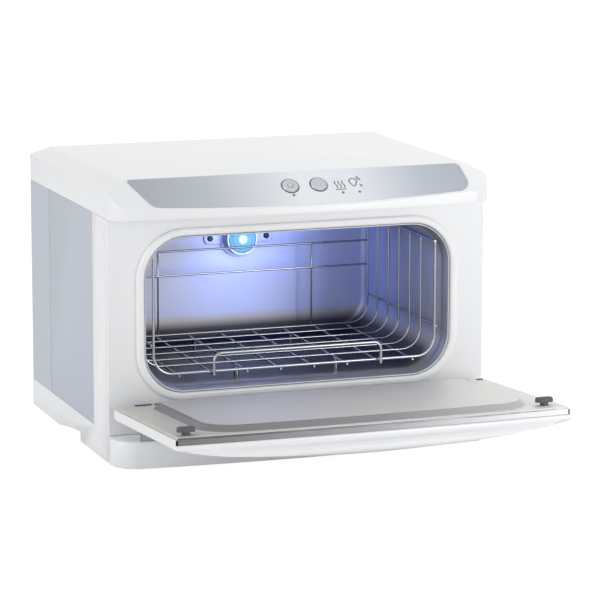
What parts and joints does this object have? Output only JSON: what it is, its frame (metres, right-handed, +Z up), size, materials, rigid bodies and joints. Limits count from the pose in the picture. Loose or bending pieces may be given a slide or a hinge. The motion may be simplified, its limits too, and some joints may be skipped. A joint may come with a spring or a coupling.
{
  "type": "uv towel warmer",
  "caption": "Benchtop cabinet that warms and sanitises towels: wire basket in a lit chamber, sloped control panel with push buttons and a steel-lined door that folds down.",
  "frame": {"origin": "centre of the object's footprint, with its door open, on the ground under its feet", "axes": "X to the right seen from the front, Y to the back, Z up; the door opens towards -Y"},
  "size_m": [0.4, 0.5173, 0.285],
  "materials": {
    "white_plastic": "smooth glossy moulding",
    "coated_sheet": "satin coated steel sheet",
    "black_rubber": "matt",
    "zinc_steel": "zinc plated",
    "steel_fasteners": "plated",
    "white_seal": "smooth silicone",
    "bright_steel": "bright",
    "chamber_aluminium": "satin",
    "glass_wool": "fibrous",
    "foam_fill": "foamed",
    "heater_silicone": "matt",
    "black_plastic": "matt",
    "fuse_shell": "plated",
    "ballast_case": "satin",
    "cream_plastic": "matt",
    "silver_plastic": "metallic, shading from dark ends to a light middle",
    "chromed_plastic": "satin chrome",
    "status_light": "clear",
    "circuit_board": "lacquered",
    "lamp_glass": "lit from inside",
    "wire_chrome": "bright wire",
    "door_steel": "smooth stainless sheet",
    "magnet_grey": "matt"
  },
  "bodies": {
    "cabinet": {"front_fascia": "white_plastic", "front_plinth": "white_plastic", "side_frame_left": "white_plastic", "side_frame_right": "white_plastic", "top_cover": "white_plastic", "side_panel_left": "coated_sheet", "side_panel_right": "coated_sheet", "rear_shell": "coated_sheet", "rubber_feet": "black_rubber", "cord_gland": "black_rubber", "base_tray": "zinc_steel", "rear_posts": "zinc_steel", "strike_plate_left": "zinc_steel", "strike_plate_right": "zinc_steel", "hinge_bracket_left": "zinc_steel", "hinge_bracket_right": "zinc_steel", "rear_screws": "steel_fasteners", "lamp_screws": "steel_fasteners", "door_gasket": "white_seal", "chamber_neck": "bright_steel", "lamp_flange": "bright_steel", "chamber_tank": "chamber_aluminium", "tank_insulation": "glass_wool", "heater_pad": "heater_silicone", "thermostat": "black_plastic", "button_switches": "black_plastic", "lamp_holder": "black_plastic", "thermal_fuse": "fuse_shell", "lamp_ballast": "ballast_case", "terminal_block": "cream_plastic", "control_overlay": "silver_plastic", "indicator_lights": "status_light", "control_board": "circuit_board", "uv_lamp": "lamp_glass", "basket_side_left": "wire_chrome", "basket_side_right": "wire_chrome", "basket_floor": "wire_chrome", "basket_front_guard": "wire_chrome", "basket_back_guard": "wire_chrome"},
    "door": {"door_inner_sheet": "door_steel", "door_outer_shell": "white_plastic", "door_foam": "foam_fill", "door_catch_left": "magnet_grey", "door_catch_right": "magnet_grey", "hinge_leaf_left": "zinc_steel", "hinge_leaf_right": "zinc_steel", "hinge_pin_left": "steel_fasteners", "hinge_pin_right": "steel_fasteners"},
    "power_button": {"power_button": "chromed_plastic"},
    "uv_button": {"uv_button": "chromed_plastic"}
  },
  "joints": [
    {"name": "door_hinge", "type": "hinge", "parent": "cabinet", "child": "door", "pos_m": [0, -0.06101, 0.04894], "axis": [-1, 0, 0], "range_deg": [0, 86]},
    {"name": "power_press", "type": "slide", "parent": "cabinet", "child": "power_button", "axis": [0, 0.6364, -0.7714], "range_m": [0, 0.001], "stiffness_N_per_m": 600, "springref_m": -0.001},
    {"name": "uv_press", "type": "slide", "parent": "cabinet", "child": "uv_button", "axis": [0, 0.6364, -0.7714], "range_m": [0, 0.001], "stiffness_N_per_m": 600, "springref_m": -0.001}
  ]
}
